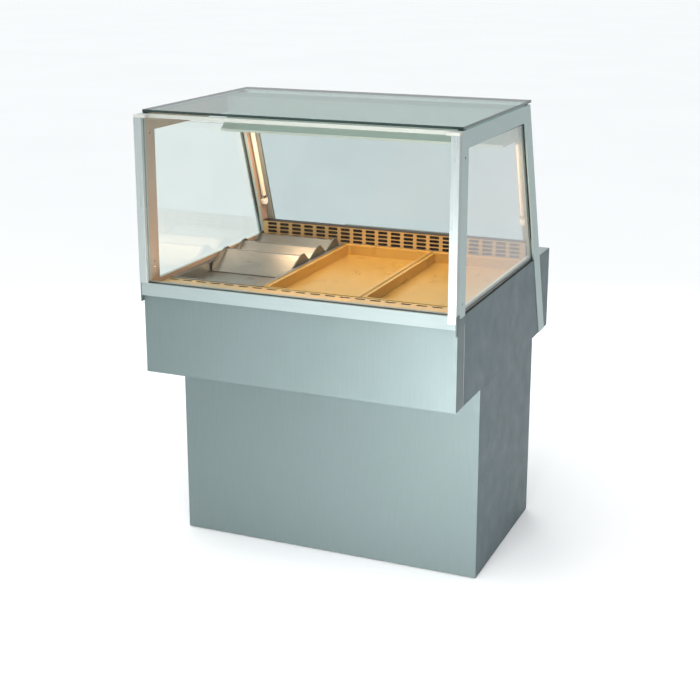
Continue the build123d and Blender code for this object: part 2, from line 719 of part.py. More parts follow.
def top_fittings():
    with BuildPart() as caps:
        for side in (-1, 1):
            block(
                sided(side, (HALF - POST_WIDTH - 14, HALF)),
                (POST_FRONT, STILE_FRONT - GAP),
                (POST_TOP + GAP, FRAME_TOP),
            )
        fillet(caps.edges().filter_by(Axis.Z), 1.0)
    write(caps, "post_caps")
    with BuildPart() as rail:
        inner = FRAME_INNER - GAP
        block((-inner, inner), (TOP_GLASS_Y[0] - 2, TOP_GLASS_Y[0] + 10), (FRAME_TOP - 13, FRAME_TOP - 1))
        chamfer(rail.edges().filter_by(Axis.X), 1.0)
    write(rail, "front_cross_rail")


# ---------------------------------------------------------------- lamps
def lamp_hood():
    outline = [
        (HOOD_Y[0], HOOD_Z[0]),
        (HOOD_Y[0], HOOD_Z[1]),
        (HOOD_Y[1], HOOD_Z[2]),
        (HOOD_Y[1], HOOD_Z[3]),
        (HOOD_Y[2], HOOD_Z[3]),
        (HOOD_Y[2], HOOD_Z[0]),
    ]
    slope = atan2(HOOD_Z[2] - HOOD_Z[1], HOOD_Y[1] - HOOD_Y[0])
    shift = SHEET * (1 - sin(slope)) / cos(slope)
    inner = [
        (HOOD_Y[0] + SHEET, HOOD_Z[0] + SHEET),
        (HOOD_Y[0] + SHEET, HOOD_Z[1] - shift),
        (HOOD_Y[1] + SHEET, HOOD_Z[2] - shift),
        (HOOD_Y[1] + SHEET, HOOD_Z[3] - SHEET),
        (HOOD_Y[2] - SHEET, HOOD_Z[3] - SHEET),
        (HOOD_Y[2] - SHEET, HOOD_Z[0] + SHEET),
    ]
    with BuildPart() as hood:
        prism(outline, (-HOOD_X, HOOD_X))
        prism(inner, (-HOOD_X + SHEET, HOOD_X - SHEET), mode=Mode.SUBTRACT)
        for y in HOOD_LAMPS_Y:
            block((-450, 450), (y - 20, y + 20), (HOOD_Z[0] - 1, HOOD_Z[0] + 3), mode=Mode.SUBTRACT)
    write(hood, "lamp_hood")


def lamps():
    with BuildPart() as tubes:
        with Locations(*[(0, y, HOOD_LAMP_Z) for y in HOOD_LAMPS_Y]):
            Cylinder(9.0, 900.0, rotation=(0, 90, 0))
    write(tubes, "hood_lamps")
    low, high = STILE_LAMP_Z
    foot = (rear_edge(low, STILE_LAMP_INSET), low)
    length = (high - low) * LEAN_LENGTH
    with BuildPart() as stile:
        for side in (-1, 1):
            start = Plane(
                origin=(side * STILE_LAMP_X, *foot), x_dir=(1, 0, 0), z_dir=(0, -LEAN, 1)
            )
            with BuildSketch(start):
                Circle(8.0)
            extrude(amount=length)
    write(stile, "stile_lamps")
    with BuildPart() as holders:
        for side in (-1, 1):
            for y in HOOD_LAMPS_Y:
                block(
                    sided(side, (450.0 + GAP, HOOD_X - SHEET)),
                    (y - 11, y + 11),
                    (HOOD_LAMP_Z - 11, HOOD_LAMP_Z + 30),
                )
            start = Plane(
                origin=(side * (STILE_LAMP_X + 1), *foot), x_dir=(1, 0, 0), z_dir=(0, -LEAN, 1)
            )
            for along in (-16.0 - GAP, length + GAP):
                with BuildSketch(start.offset(along)):
                    RectangleRounded(20.0, 20.0, 3.0)
                extrude(amount=16.0)
    write(holders, "lamp_holders")


# ---------------------------------------------------------------- rear flap
def rear_flap():
    """A glazed flap, hung from its top edge, that opens upwards to the rear."""
    half, edge, thick = FLAP_HALF, FLAP_EDGE, FLAP_THICK / 2
    bore_depth = 22.5
    with BuildPart() as frame:
        with BuildSketch(FLAP_PLANE.offset(-thick)):
            with Locations((0, FLAP_LENGTH / 2)):
                Rectangle(2 * half, FLAP_LENGTH)
                Rectangle(2 * (half - edge), FLAP_LENGTH - 2 * edge, mode=Mode.SUBTRACT)
        extrude(amount=2 * thick)
        axis = FLAP_PLANE.origin
        with Locations((0, axis.Y, axis.Z)):
            Cylinder(9.0, 2 * half, rotation=(0, 90, 0))
        with BuildSketch(FLAP_PLANE.offset(-2.7)):
            with Locations((0, FLAP_LENGTH / 2)):
                Rectangle(2 * (half - edge / 2) + 0.6, FLAP_LENGTH - edge + 0.6)
        extrude(amount=5.4, mode=Mode.SUBTRACT)
        for side in (-1, 1):
            with Locations((side * (half - bore_depth / 2), axis.Y, axis.Z)):
                Cylinder(PIVOT_PIN + RUNNING, bore_depth + 0.2, rotation=(0, 90, 0), mode=Mode.SUBTRACT)
    write(frame, "flap_frame")
    with BuildPart() as pane:
        with BuildSketch(FLAP_PLANE.offset(-2.5)):
            with Locations((0, FLAP_LENGTH / 2)):
                Rectangle(2 * (half - edge / 2), FLAP_LENGTH - edge)
        extrude(amount=5.0)
    write(pane, "flap_glass")
    with BuildPart() as grip:
        with BuildSketch(FLAP_PLANE.offset(thick)):
            with Locations((0, FLAP_LENGTH - edge / 2)):
                Rectangle(400.0, edge - 4)
        extrude(amount=3.0)
        with BuildSketch(FLAP_PLANE.offset(thick + 3.0)):
            with Locations((0, FLAP_LENGTH - edge + 4)):
                Rectangle(400.0, 4)
        extrude(amount=22.0)
    write(grip, "flap_grip")


def build_all():
    base_panels()
    hinge_pins()
    base_fittings()
    housing_panels()
    front_rail()
    control_parts()
    warm_well()
    air_grilles()
    for side in (-1, 1):
        base_door(side)
        front_post(side)
        side_frame(side)
    for x, name in zip(fan_places(), ("tray_left", "tray_middle", "tray_right")):
        tray(x, name)
    stepped_rack(-TRAY_PITCH)
    glazing()
    top_fittings()
    lamp_hood()
    lamps()
    rear_flap()


build_all()
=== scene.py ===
"""Looks of the hot food display case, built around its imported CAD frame.

Metres, +Z up; -Y is the customer's side.
"""

import math

import bmesh
import bpy
from mathutils import Matrix, Vector


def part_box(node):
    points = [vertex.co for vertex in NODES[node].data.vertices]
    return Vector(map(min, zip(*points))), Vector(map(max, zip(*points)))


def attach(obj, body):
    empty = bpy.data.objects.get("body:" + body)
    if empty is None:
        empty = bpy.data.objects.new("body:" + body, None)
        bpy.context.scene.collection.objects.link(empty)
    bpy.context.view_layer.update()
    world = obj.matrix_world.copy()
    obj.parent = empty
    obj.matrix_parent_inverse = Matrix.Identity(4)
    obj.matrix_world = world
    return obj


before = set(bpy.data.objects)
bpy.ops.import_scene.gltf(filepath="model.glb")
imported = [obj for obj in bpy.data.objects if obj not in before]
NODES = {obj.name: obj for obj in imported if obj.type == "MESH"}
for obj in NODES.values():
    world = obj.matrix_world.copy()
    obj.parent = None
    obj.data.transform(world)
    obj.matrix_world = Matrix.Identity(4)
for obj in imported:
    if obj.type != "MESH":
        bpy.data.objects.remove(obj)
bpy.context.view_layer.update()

MM = 0.001


# ---------------------------------------------------------------- node helpers
class Shader:
    """A material under construction, with short calls for the nodes used here."""

    def __init__(self, name):
        self.material = bpy.data.materials.new(name)
        self.material.use_nodes = True
        self.tree = self.material.node_tree
        self.tree.nodes.clear()
        self.output = self.add("ShaderNodeOutputMaterial")
        self.coordinates = self.add("ShaderNodeTexCoord")

    def add(self, kind, **settings):
        node = self.tree.nodes.new(kind)
        for key, value in settings.items():
            setattr(node, key, value)
        return node

    def link(self, source, target):
        self.tree.links.new(source, target)

    def noise(self, scale, detail=3.0, stretch=(1.0, 1.0, 1.0), roughness=0.5):
        """Noise in the object's own coordinates, stretched by the given scales."""
        mapping = self.add("ShaderNodeMapping")
        mapping.inputs["Scale"].default_value = stretch
        self.link(self.coordinates.outputs["Object"], mapping.inputs["Vector"])
        texture = self.add("ShaderNodeTexNoise")
        texture.inputs["Scale"].default_value = scale
        texture.inputs["Detail"].default_value = detail
        texture.inputs["Roughness"].default_value = roughness
        self.link(mapping.outputs["Vector"], texture.inputs["Vector"])
        return texture.outputs["Fac"]

    def spread(self, value, low, high, start=0.3, end=0.7):
        """Map a noise value to the range low..high."""
        node = self.add("ShaderNodeMapRange")
        node.inputs["From Min"].default_value = start
        node.inputs["From Max"].default_value = end
        node.inputs["To Min"].default_value = low
        node.inputs["To Max"].default_value = high
        self.link(value, node.inputs["Value"])
        return node.outputs["Result"]

    def blend(self, factor, first, second):
        """Mix two colours, each a tuple or a socket, by a factor socket."""
        node = self.add("ShaderNodeMix", data_type="RGBA")
        self.link(factor, node.inputs["Factor"])
        for socket, colour in ((node.inputs["A"], first), (node.inputs["B"], second)):
            if isinstance(colour, tuple):
                socket.default_value = (*colour, 1.0)
            else:
                self.link(colour, socket)
        return node.outputs["Result"]

    def math(self, operation, *values):
        node = self.add("ShaderNodeMath", operation=operation)
        for socket, value in zip(node.inputs, values):
            if isinstance(value, (int, float)):
                socket.default_value = value
            else:
                self.link(value, socket)
        return node.outputs["Value"]

    def bump(self, height, strength, distance):
        node = self.add("ShaderNodeBump")
        node.inputs["Strength"].default_value = strength
        node.inputs["Distance"].default_value = distance
        self.link(height, node.inputs["Height"])
        return node.outputs["Normal"]

    def principled(self, **values):
        node = self.add("ShaderNodeBsdfPrincipled")
        for key, value in values.items():
            node.inputs[key.replace("_", " ")].default_value = value
        return node


def shade(value):
    """An sRGB colour of 0-255 as linear light."""
    return tuple((c / 255 / 12.92) if c <= 10 else ((c / 255 + 0.055) / 1.055) ** 2.4 for c in value)


# ---------------------------------------------------------------- materials
def sheet_metal(name, dark, light, metallic, rough, grain, strength=0.06):
    """Brushed or lacquered sheet: fine grain along the stretched axis, slow cloudiness, soft bump."""
    s = Shader(name)
    body = s.principled(Metallic=metallic, Specular_IOR_Level=0.25)
    fine = s.noise(9.0, 4.0, grain, 0.65)
    slow = s.noise(2.6, 3.0)
    smudge = s.noise(14.0, 5.0, roughness=0.6)
    tone = s.blend(s.spread(fine, 0.0, 1.0), dark, light)
    cloud = s.blend(s.spread(slow, 0.0, 0.35), tone, light)
    s.link(cloud, body.inputs["Base Color"])
    worn = s.math("MULTIPLY", s.spread(smudge, 0.85, 1.15), s.spread(fine, rough[0], rough[1]))
    s.link(worn, body.inputs["Roughness"])
    s.link(s.bump(fine, strength, 0.0004), body.inputs["Normal"])
    s.link(body.outputs["BSDF"], s.output.inputs["Surface"])
    return s.material


def moulded(name, dark, light, rough, scale=900.0, strength=0.12):
    """Moulded plastic or rubber with a fine leathery texture and slight colour drift."""
    s = Shader(name)
    body = s.principled()
    grain = s.noise(scale, 2.0)
    drift = s.noise(6.0, 3.0)
    s.link(s.blend(s.spread(drift, 0.0, 1.0), dark, light), body.inputs["Base Color"])
    s.link(s.spread(grain, rough[0], rough[1]), body.inputs["Roughness"])
    s.link(s.bump(grain, strength, 0.0002), body.inputs["Normal"])
    s.link(body.outputs["BSDF"], s.output.inputs["Surface"])
    return s.material


def pane(name, tint, edge, axis, gloss=(0.04, 0.9)):
    """Flat glass: clear on its faces, mirrored more at a low angle, deep green on its cut edges."""
    s = Shader(name)
    facing = s.add("ShaderNodeVectorMath", operation="DOT_PRODUCT")
    facing.inputs[1].default_value = axis
    s.link(s.coordinates.outputs["Normal"], facing.inputs[0])
    is_edge = s.math("LESS_THAN", s.math("ABSOLUTE", facing.outputs["Value"]), 0.6)
    haze = s.noise(5.0, 4.0)
    clear = s.add("ShaderNodeBsdfTransparent")
    bright = tuple(min(1.0, c * 1.02) for c in tint)
    s.link(s.blend(s.spread(haze, 0.0, 1.0), tint, bright), clear.inputs["Color"])
    mirror = s.add("ShaderNodeBsdfGlossy")
    s.link(s.spread(haze, 0.005, 0.03), mirror.inputs["Roughness"])
    angle = s.add("ShaderNodeLayerWeight")
    grazing = s.math("POWER", angle.outputs["Facing"], 4.0)
    face = s.add("ShaderNodeMixShader")
    s.link(s.math("MULTIPLY_ADD", grazing, gloss[1], gloss[0]), face.inputs["Fac"])
    s.link(clear.outputs["BSDF"], face.inputs[1])
    s.link(mirror.outputs["BSDF"], face.inputs[2])
    rim = s.principled(Roughness=0.12)
    s.link(s.blend(s.spread(haze, 0.0, 1.0), edge, tuple(c * 1.6 for c in edge)), rim.inputs["Base Color"])
    both = s.add("ShaderNodeMixShader")
    s.link(is_edge, both.inputs["Fac"])
    s.link(face.outputs["Shader"], both.inputs[1])
    s.link(rim.outputs["BSDF"], both.inputs[2])
    s.link(both.outputs["Shader"], s.output.inputs["Surface"])
    return s.material


def metal_with_painted_inner_reflection(name, outside, painted_reflection, rough):
    """Lacquered frame bar with a painted warm reflection of the lit interior on the faces that look into the
    case.
    """
    s = Shader(name)
    body = s.principled(Metallic=0.2, Specular_IOR_Level=0.25)
    fine = s.noise(9.0, 4.0, VERTICAL, 0.65)
    share = s.spread(fine, 0.0, 1.0)
    outward = s.add("ShaderNodeVectorMath", operation="MULTIPLY")
    s.link(s.coordinates.outputs["Object"], outward.inputs[0])
    s.link(s.coordinates.outputs["Normal"], outward.inputs[1])
    across = s.add("ShaderNodeSeparateXYZ")
    s.link(outward.outputs["Vector"], across.inputs["Vector"])
    # Faces that look into the case take the second colour, a painted warm reflection of the lit interior.
    inward = s.math("LESS_THAN", across.outputs["X"], -0.3)
    plain_and_reflected_tones = []
    for colour in (outside, painted_reflection):
        plain_and_reflected_tones.append(s.blend(share, colour, tuple(c * 1.1 for c in colour)))
    s.link(s.blend(inward, *plain_and_reflected_tones), body.inputs["Base Color"])
    s.link(s.spread(fine, *rough), body.inputs["Roughness"])
    s.link(s.bump(fine, 0.05, 0.0004), body.inputs["Normal"])
    s.link(body.outputs["BSDF"], s.output.inputs["Surface"])
    return s.material


def glowing(name, colour, warm, strength):
    """An opal lamp tube: brighter in patches, and lit from inside."""
    s = Shader(name)
    body = s.principled(Roughness=0.25, Emission_Strength=strength)
    drift = s.noise(8.0, 2.0)
    s.link(s.blend(s.spread(drift, 0.0, 1.0), colour, warm), body.inputs["Base Color"])
    s.link(s.blend(s.spread(drift, 0.0, 1.0), colour, warm), body.inputs["Emission Color"])
    s.link(body.outputs["BSDF"], s.output.inputs["Surface"])
    return s.material


VERTICAL = (60.0, 60.0, 1.2)
ALONG_X = (1.2, 60.0, 60.0)
ALONG_Y = (60.0, 1.2, 60.0)
FLAP_NORMAL = Vector((0.0, 0.945, 0.327))


def make_materials():
    m = {}
    m["panel"] = sheet_metal(
        "panel_steel", shade((98, 111, 111)), shade((105, 118, 118)), 0.25, (0.42, 0.5), VERTICAL
    )
    # The side panels take a darker copy of the panel steel, which is painted shade.
    m["side"] = sheet_metal(
        "side_steel_painted_shade", shade((86, 102, 107)), shade((94, 110, 115)), 0.25, (0.42, 0.5), VERTICAL
    )
    # The frame's second colour is a painted warm reflection on its inward faces.
    m["frame"] = metal_with_painted_inner_reflection("frame_lacquer", shade((158, 176, 174)), shade((166, 148, 134)), (0.3, 0.4))
    m["hood"] = sheet_metal(
        "hood_lacquer", shade((182, 184, 176)), shade((190, 192, 184)), 0.15, (0.35, 0.5), ALONG_X
    )
    m["aluminium"] = sheet_metal(
        "satin_aluminium", shade((152, 161, 160)), shade((164, 172, 171)), 0.3, (0.26, 0.38), VERTICAL
    )
    m["rail"] = sheet_metal(
        "rail_aluminium", shade((131, 143, 142)), shade((138, 150, 149)), 0.08, (0.5, 0.62), ALONG_X
    )
    # The amber cast of the tray steel is painted warm light from the hood lamps.
    m["tray"] = sheet_metal(
        "tray_steel", shade((178, 148, 76)), shade((188, 158, 86)), 0.6, (0.28, 0.36), ALONG_Y, 0.01
    )
    # The amber cast of the grille steel is painted warm light from the hood lamps.
    m["slots"] = sheet_metal(
        "grille_steel_painted_warm_light", shade((170, 146, 98)), shade((180, 156, 108)), 0.5, (0.3, 0.4), ALONG_X, 0.02
    )
    m["sill"] = moulded("sill_trim", shade((24, 19, 17)), shade((34, 28, 25)), (0.6, 0.75))
    m["rack"] = sheet_metal(
        "rack_steel", shade((116, 120, 118)), shade((126, 130, 128)), 0.8, (0.28, 0.38), ALONG_X, 0.015
    )
    m["shelf"] = sheet_metal(
        "shelf_steel", shade((120, 132, 134)), shade((142, 154, 155)), 0.8, (0.28, 0.42), ALONG_X
    )
    m["zinc"] = sheet_metal(
        "zinc_sheet", shade((140, 146, 148)), shade((168, 174, 176)), 0.8, (0.4, 0.6), (4.0, 4.0, 4.0)
    )
    m["bright"] = sheet_metal(
        "bright_steel", shade((190, 192, 194)), shade((214, 216, 218)), 1.0, (0.14, 0.24), (9.0, 9.0, 9.0)
    )
    m["heater"] = sheet_metal(
        "heater_sheath", shade((60, 54, 50)), shade((92, 80, 70)), 0.8, (0.4, 0.6), (9.0, 9.0, 9.0)
    )
    m["rubber"] = moulded("black_rubber", shade((16, 17, 18)), shade((30, 32, 33)), (0.55, 0.75))
    m["black"] = moulded("black_plastic", shade((22, 23, 25)), shade((38, 40, 42)), (0.38, 0.52))
    m["dark"] = moulded("dark_plastic", shade((62, 74, 76)), shade((84, 96, 98)), (0.4, 0.55))
    m["grey"] = moulded("grey_plastic", shade((126, 132, 134)), shade((146, 152, 154)), (0.4, 0.55))
    m["white"] = moulded("white_plastic", shade((222, 226, 222)), shade((238, 240, 236)), (0.25, 0.38))
    m["switch"] = moulded("switch_plastic", shade((128, 22, 16)), shade((158, 34, 24)), (0.2, 0.32))
    clear, green = (0.955, 0.975, 0.965), shade((44, 70, 62))
    m["glass_x"] = pane("clear_glass_side", clear, green, (1, 0, 0))
    m["glass_y"] = pane("clear_glass_front", clear, green, (0, 1, 0), (0.01, 0.5))
    m["glass_flap"] = pane("clear_glass_flap", (0.79, 0.83, 0.835), green, tuple(FLAP_NORMAL), (0.02, 0.6))
    m["glass_top"] = pane("tinted_glass", (0.61, 0.72, 0.7), shade((26, 44, 40)), (0, 0, 1), (0.05, 0.5))
    m["lamp_off"] = moulded("opal_tube", shade((216, 210, 196)), shade((226, 220, 206)), (0.22, 0.34), 300.0)
    m["lamp_warm"] = glowing("lamp_warm", (1.0, 0.78, 0.5), (1.0, 0.7, 0.4), 3.0)
    return m


NODE_MATERIALS = {
    "panel": (
        "base_front_panel base_rear_frame base_door_left base_door_right housing_front_panel "
        "housing_rear_panel"
    ),
    "side": "base_left_panel base_right_panel housing_left_panel housing_right_panel",
    "frame": "side_frame_left side_frame_right side_strips",
    "hood": "lamp_hood post_caps front_cross_rail",
    "aluminium": (
        "front_post_left front_post_right flap_frame flap_grip door_knob_left door_knob_right"
    ),
    "rail": "front_rail",
    "tray": "inner_tub tray_middle tray_right",
    "slots": "front_air_grille rear_air_grille",
    "sill": "rear_sill",
    "rack": "tray_left stepped_rack",
    "shelf": "rear_shelf",
    "zinc": "base_floor housing_bottom fan_plate fan_motors tray_bars",
    "bright": "hinge_pins panel_screws",
    "heater": "heating_element",
    "rubber": "glass_seals",
    "black": "control_box fan_left fan_middle fan_right thermostat_knob levelling_feet mains_gland",
    "dark": "rail_end_caps",
    "grey": "electrical_box",
    "white": "lamp_holders",
    "switch": "heat_switch lamp_switch",
    "glass_x": "side_glass_left side_glass_right",
    "glass_y": "front_glass",
    "glass_flap": "flap_glass",
    "glass_top": "top_glass",
    "lamp_off": "stile_lamps",
    "lamp_warm": "hood_lamps",
}

# Bevel widths for folded sheet, bar, glass and moulded pieces; nodes not named here keep the CAD edge.
SOFT_EDGES = {
    0.5 * MM: (
        "base_front_panel base_left_panel base_right_panel housing_front_panel housing_left_panel "
        "housing_right_panel housing_rear_panel rear_shelf lamp_hood rear_sill side_strips front_cross_rail"
    ),
    0.8 * MM: (
        "base_door_left base_door_right base_rear_frame side_frame_left side_frame_right front_post_left "
        "front_post_right flap_frame flap_grip post_caps rail_end_caps heat_switch lamp_switch "
        "electrical_box"
    ),
    0.6 * MM: "front_rail side_glass_left side_glass_right front_glass flap_glass lamp_holders",
}


def dress_nodes(materials):
    for key, names in NODE_MATERIALS.items():
        for name in names.split():
            node = NODES[name]
            if not node.material_slots:
                node.data.materials.append(materials[key])
            for slot in node.material_slots:
                slot.material = materials[key]
    for width, names in SOFT_EDGES.items():
        for name in names.split():
            bevel = NODES[name].modifiers.new("soft_edges", "BEVEL")
            bevel.width = width
            bevel.segments = 2
            bevel.limit_method = "ANGLE"
            bevel.angle_limit = math.radians(50)
            bevel.harden_normals = True


# ---------------------------------------------------------------- stage, lights, camera
CAMERA = {
    "at": (1.6374, -3.9498, 1.9335),
    "yaw": -0.3985,
    "pitch": 0.2622,
    "lens": 69.3,
    "shift": -0.0714,
}
FLOOR_REACH = 60.0


def make_camera():
    """A camera in front, to the right and above, level from side to side."""
    data = bpy.data.cameras.new("camera")
    data.lens = CAMERA["lens"]
    data.sensor_width = 36.0
    data.shift_y = CAMERA["shift"]
    camera = bpy.data.objects.new("camera", data)
    bpy.context.scene.collection.objects.link(camera)
    yaw, pitch = CAMERA["yaw"], CAMERA["pitch"]
    forward = Vector((math.sin(yaw) * math.cos(pitch), math.cos(yaw) * math.cos(pitch), -math.sin(pitch)))
    camera.location = CAMERA["at"]
    camera.rotation_mode = "QUATERNION"
    camera.rotation_quaternion = forward.to_track_quat("-Z", "Y")
    bpy.context.scene.camera = camera


def area_light(name, at, target, size, power, colour=(1.0, 1.0, 1.0), mirrored=True):
    data = bpy.data.lights.new(name, "AREA")
    data.shape = "RECTANGLE"
    data.size, data.size_y = size
    data.energy = power
    data.color = colour
    light = bpy.data.objects.new(name, data)
    light.location = at
    light.visible_camera = False
    light.visible_glossy = mirrored
    light.rotation_mode = "QUATERNION"
    light.rotation_quaternion = (Vector(target) - Vector(at)).to_track_quat("-Z", "Y")
    bpy.context.scene.collection.objects.link(light)


def make_world(scene):
    """A white studio with one dark flag along its right-hand side."""
    world = bpy.data.worlds.new("studio")
    scene.world = world
    world.use_nodes = True
    tree = world.node_tree
    background = tree.nodes["Background"]
    position = tree.nodes.new("ShaderNodeTexCoord")
    sideways = tree.nodes.new("ShaderNodeVectorMath")
    sideways.operation = "DOT_PRODUCT"
    sideways.inputs[1].default_value = (0.94, 0.34, -0.6)
    tree.links.new(position.outputs["Generated"], sideways.inputs[0])
    flag = tree.nodes.new("ShaderNodeMapRange")
    flag.interpolation_type = "SMOOTHSTEP"
    flag.inputs["From Min"].default_value = 0.05
    flag.inputs["From Max"].default_value = 0.5
    flag.inputs["To Min"].default_value = 1.18
    flag.inputs["To Max"].default_value = 0.06
    tree.links.new(sideways.outputs["Value"], flag.inputs["Value"])
    tree.links.new(flag.outputs["Result"], background.inputs["Strength"])
    background.inputs["Color"].default_value = (0.96, 0.985, 1.0, 1.0)


def make_stage():
    scene = bpy.context.scene
    scene.view_settings.view_transform = "Standard"
    make_world(scene)
    mesh = bpy.data.meshes.new("floor")
    corners = [(x * FLOOR_REACH, y * FLOOR_REACH, 0) for x, y in ((-1, -1), (1, -1), (1, 1), (-1, 1))]
    mesh.from_pydata(corners, [], [(0, 1, 2, 3)])
    floor = bpy.data.objects.new("floor", mesh)
    scene.collection.objects.link(floor)
    s = Shader("pale_floor")
    body = s.principled(Roughness=0.8)
    drift = s.spread(s.noise(0.6, 2.0), 0.0, 1.0)
    s.link(s.blend(drift, (0.93, 0.93, 0.93), (0.95, 0.95, 0.95)), body.inputs["Base Color"])
    s.link(body.outputs["BSDF"], s.output.inputs["Surface"])
    mesh.materials.append(s.material)
    area_light("key", (0.44, -1.6, 0.44), (0.27, -0.4, 0.46), (0.6, 0.7), 27.0)
    area_light("rear", (-1.2, 2.9, 1.1), (-0.1, 0.4, 0.6), (1.4, 1.4), 26.0, mirrored=False)
    area_light("over", (-0.6, -0.3, 4.2), (0.0, 0.0, 1.0), (3.0, 3.0), 25.0, mirrored=False)


def make_case_lights():
    """The glow of the hood's tubes on the trays below."""
    low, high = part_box("hood_lamps")
    hood_low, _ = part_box("lamp_hood")
    y = (low.y + high.y) / 2
    at = (0.0, y, hood_low.z - 4 * MM)
    area_light("hood_glow", at, (0.0, y, 0.0), (0.86, 0.1), 9.0, (1.0, 0.62, 0.38))


# ---------------------------------------------------------------- small pieces built in mesh code
def place(name, mesh, material, body):
    """Put a finished mesh or curve in the scene and let it ride on a CAD body."""
    piece = bpy.data.objects.new(name, mesh)
    bpy.context.scene.collection.objects.link(piece)
    mesh.materials.append(material)
    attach(piece, body)
    return piece


def finish_mesh(name, shape, material, body, bevel=0.0):
    mesh = bpy.data.meshes.new(name)
    bmesh.ops.recalc_face_normals(shape, faces=shape.faces)
    shape.to_mesh(mesh)
    shape.free()
    piece = place(name, mesh, material, body)
    if bevel:
        soft = piece.modifiers.new("soft_edges", "BEVEL")
        soft.width = bevel
        soft.segments = 2
        soft.limit_method = "ANGLE"
    return piece


def scaled(*profile):
    """A profile given in millimetres, in metres."""
    return [(radius * MM, height * MM) for radius, height in profile]


def add_box(shape, low, high):
    low, high = Vector(low), Vector(high)
    size = Matrix.Diagonal((*(high - low), 1.0))
    bmesh.ops.create_cube(shape, size=1.0, matrix=Matrix.Translation((low + high) / 2) @ size)


def add_turned(shape, profile, centre, axis, sides=24):
    """Turn a profile of (radius, height) points about an axis through centre."""
    frame_matrix = Matrix.Translation(centre) @ Vector(axis).to_track_quat("Z", "Y").to_matrix().to_4x4()
    rings = []
    for radius, height in profile:
        ring = []
        for step in range(sides):
            angle = 2 * math.pi * step / sides
            point = Vector((radius * math.cos(angle), radius * math.sin(angle), height))
            ring.append(shape.verts.new(frame_matrix @ point))
        rings.append(ring)
    for lower, upper in zip(rings, rings[1:]):
        for step in range(sides):
            after = (step + 1) % sides
            shape.faces.new((lower[step], lower[after], upper[after], upper[step]))
    shape.faces.new(rings[0][::-1])
    shape.faces.new(rings[-1])


def wire(name, lines, radius, material, body, closed=False, smooth=False):
    """Round wire along one or more lines of points."""
    curve = bpy.data.curves.new(name, "CURVE")
    curve.dimensions = "3D"
    curve.bevel_depth = radius
    curve.bevel_resolution = 3
    curve.use_fill_caps = not closed
    for points in lines:
        spline = curve.splines.new("POLY")
        spline.points.add(len(points) - 1)
        for spot, point in zip(spline.points, points):
            spot.co = (*point, 1.0)
        spline.use_cyclic_u = closed
        spline.use_smooth = smooth
    return place(name, curve, material, body)


def side_points(node, x):
    """The (y, z) corners of a node's outline on the plane that faces x."""
    corners = (v.co for v in NODES[node].data.vertices if abs(v.co.x - x) < 1e-4)
    points = {(round(corner.y, 5), round(corner.z, 5)) for corner in corners}
    middle = Vector((sum(p[0] for p in points) / len(points), sum(p[1] for p in points) / len(points)))
    return sorted(points, key=lambda p: math.atan2(p[1] - middle.y, p[0] - middle.x))


def inset(points, distance):
    """Move a convex outline's sides inwards by distance."""
    moved = []
    count = len(points)
    for index in range(count):
        before, here, after = (Vector(points[(index + step) % count]) for step in (-1, 0, 1))
        first, second = (here - before).normalized(), (after - here).normalized()
        bisector = (second - first).normalized()
        slant = math.sqrt((1 - first.dot(second)) / 2)
        moved.append(here + bisector * distance / max(slant, 0.1))
    return moved


def lamp_caps(m):
    """A metal ferrule on each end of the tubes under the hood."""
    low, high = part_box("hood_lamps")
    radius = (high.z - low.z) / 2
    shape = bmesh.new()
    for y in (low.y + radius, high.y - radius):
        for x, way in ((low.x, 1), (high.x, -1)):
            centre = Vector((x, y, low.z + radius))
            profile = [(radius + 0.4 * MM, 0.0), (radius + 0.9 * MM, 1 * MM)]
            profile += [(radius + 0.9 * MM, 14 * MM), (radius + 0.2 * MM, 16 * MM)]
            add_turned(shape, profile, centre, (way, 0, 0))
    finish_mesh("hood_lamp_ferrules", shape, m["bright"], "case")


def stile_lamp_clips(m):
    """Spring clips that hold each upright tube near its ends."""
    shape = bmesh.new()
    for side in (-1, 1):
        vertices = [v.co for v in NODES["stile_lamps"].data.vertices if v.co.x * side > 0]
        top = max(v.z for v in vertices)
        foot = min(v.z for v in vertices)
        upper = [v for v in vertices if v.z > top - 20 * MM]
        lower = [v for v in vertices if v.z < foot + 20 * MM]
        ends = [sum(group, Vector()) / len(group) for group in (lower, upper)]
        along = (ends[1] - ends[0]).normalized()
        for share in (0.04, 0.96):
            centre = ends[0].lerp(ends[1], share) - along * 5 * MM
            profile = scaled((8.2, 0), (9.4, 0.6), (9.4, 9.4), (8.2, 10))
            add_turned(shape, profile, centre, along)
    finish_mesh("stile_lamp_clips", shape, m["bright"], "case")


def glass_beads(m):
    """A thin dark bead between each side frame and its glass, inside and outside."""
    for side, name in ((-1, "left"), (1, "right")):
        low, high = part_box(f"side_glass_{name}")
        outline = inset(side_points(f"side_glass_{name}", high.x), 8.6 * MM)
        faces = (low.x - 1.0 * MM, high.x + 1.0 * MM)
        lines = [[(x, p[0], p[1]) for p in outline] for x in faces]
        wire(f"side_glass_beads_{name}", lines, 1.1 * MM, m["rubber"], "case", closed=True)


def tray_beads(m):
    """The rolled edge on each tray's rim."""
    edge, corner = 1.6 * MM, 8 * MM
    reach = corner - edge
    for name in ("left", "middle", "right"):
        low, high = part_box(f"tray_{name}")
        corners = (
            (high.x - corner, high.y - corner, 0),
            (low.x + corner, high.y - corner, 90),
            (low.x + corner, low.y + corner, 180),
            (high.x - corner, low.y + corner, 270),
        )
        points = []
        for x, y, start in corners:
            for step in range(5):
                angle = math.radians(start + 22.5 * step)
                points.append((x + reach * math.cos(angle), y + reach * math.sin(angle), high.z + 0.6 * MM))
        key, slot = ("rack", "rack_steel") if name == "left" else ("tray", "tray_steel")
        wire(f"tray_{name}_bead", [points], 1.5 * MM, m[key], f"tray_{name}", closed=True)


